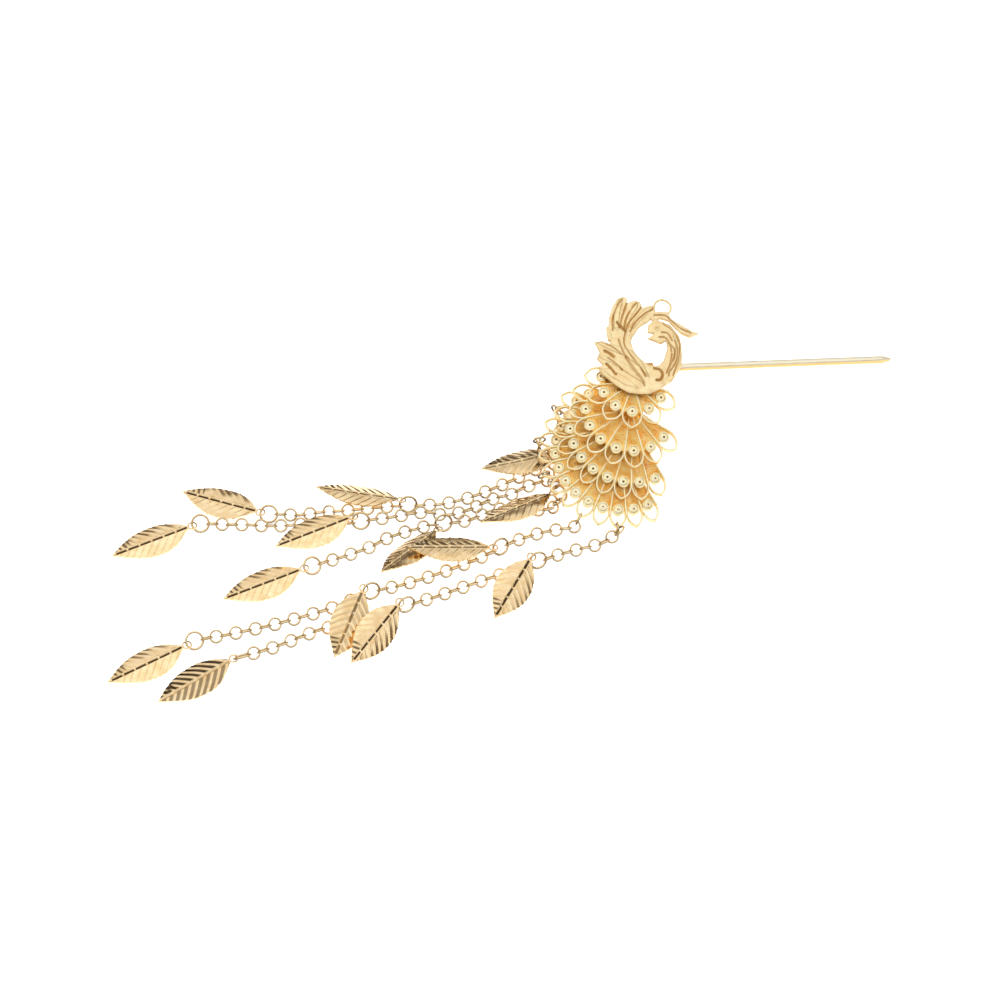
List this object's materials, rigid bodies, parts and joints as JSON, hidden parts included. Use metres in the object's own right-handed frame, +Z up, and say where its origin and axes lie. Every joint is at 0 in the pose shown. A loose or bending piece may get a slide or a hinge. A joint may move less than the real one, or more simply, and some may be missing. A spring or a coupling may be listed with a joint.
{
  "type": "buyao hairpin",
  "caption": "Gold-coloured buyao hairpin lying flat: a stamped phoenix over a fan of peacock feathers on a long pin, with fine chains of ribbed willow leaves that sway when it is worn.",
  "frame": {"origin": "centre of the whole outline, on the table that it lies on", "axes": "+X from the ends of the chains towards the pin's tip, +Y away from the viewer, +Z up off the table"},
  "size_m": [0.2085, 0.1178, 0.031],
  "materials": {
    "pin_wire": "drawn gold-coloured wire, satin",
    "stamped_bird": "stamped and matted, pale gold colour",
    "plain_back": "plain gold-coloured metal, satin",
    "pierced_tail": "pierced sheet, bright yellow gold colour",
    "link_wire": "bright gold-coloured wire",
    "leaf_sheet": "pressed sheet, bright pale gold colour"
  },
  "bodies": {
    "root": {"hair_pin": "pin_wire", "bird": "stamped_bird", "tail_carrier": "plain_back", "tail_tier_1": "pierced_tail", "tail_tier_2": "pierced_tail", "tail_tier_3": "pierced_tail", "tail_tier_4": "pierced_tail", "chain_1": "link_wire", "chain_2": "link_wire", "chain_3": "link_wire", "chain_4": "link_wire", "chain_5": "link_wire", "jump_ring_1_1": "link_wire", "jump_ring_1_2": "link_wire", "jump_ring_1_3": "link_wire", "jump_ring_2_1": "link_wire", "jump_ring_2_2": "link_wire", "jump_ring_2_3": "link_wire", "jump_ring_3_1": "link_wire", "jump_ring_3_2": "link_wire", "jump_ring_3_3": "link_wire", "jump_ring_4_1": "link_wire", "jump_ring_4_2": "link_wire", "jump_ring_4_3": "link_wire", "jump_ring_5_1": "link_wire", "jump_ring_5_2": "link_wire", "jump_ring_5_3": "link_wire", "leaf_1_1": "leaf_sheet", "leaf_1_2": "leaf_sheet", "leaf_1_3": "leaf_sheet", "leaf_2_1": "leaf_sheet", "leaf_2_2": "leaf_sheet", "leaf_2_3": "leaf_sheet", "leaf_3_1": "leaf_sheet", "leaf_3_2": "leaf_sheet", "leaf_3_3": "leaf_sheet", "leaf_4_1": "leaf_sheet", "leaf_4_2": "leaf_sheet", "leaf_4_3": "leaf_sheet", "leaf_5_1": "leaf_sheet", "leaf_5_2": "leaf_sheet", "leaf_5_3": "leaf_sheet"}
  },
  "joints": []
}
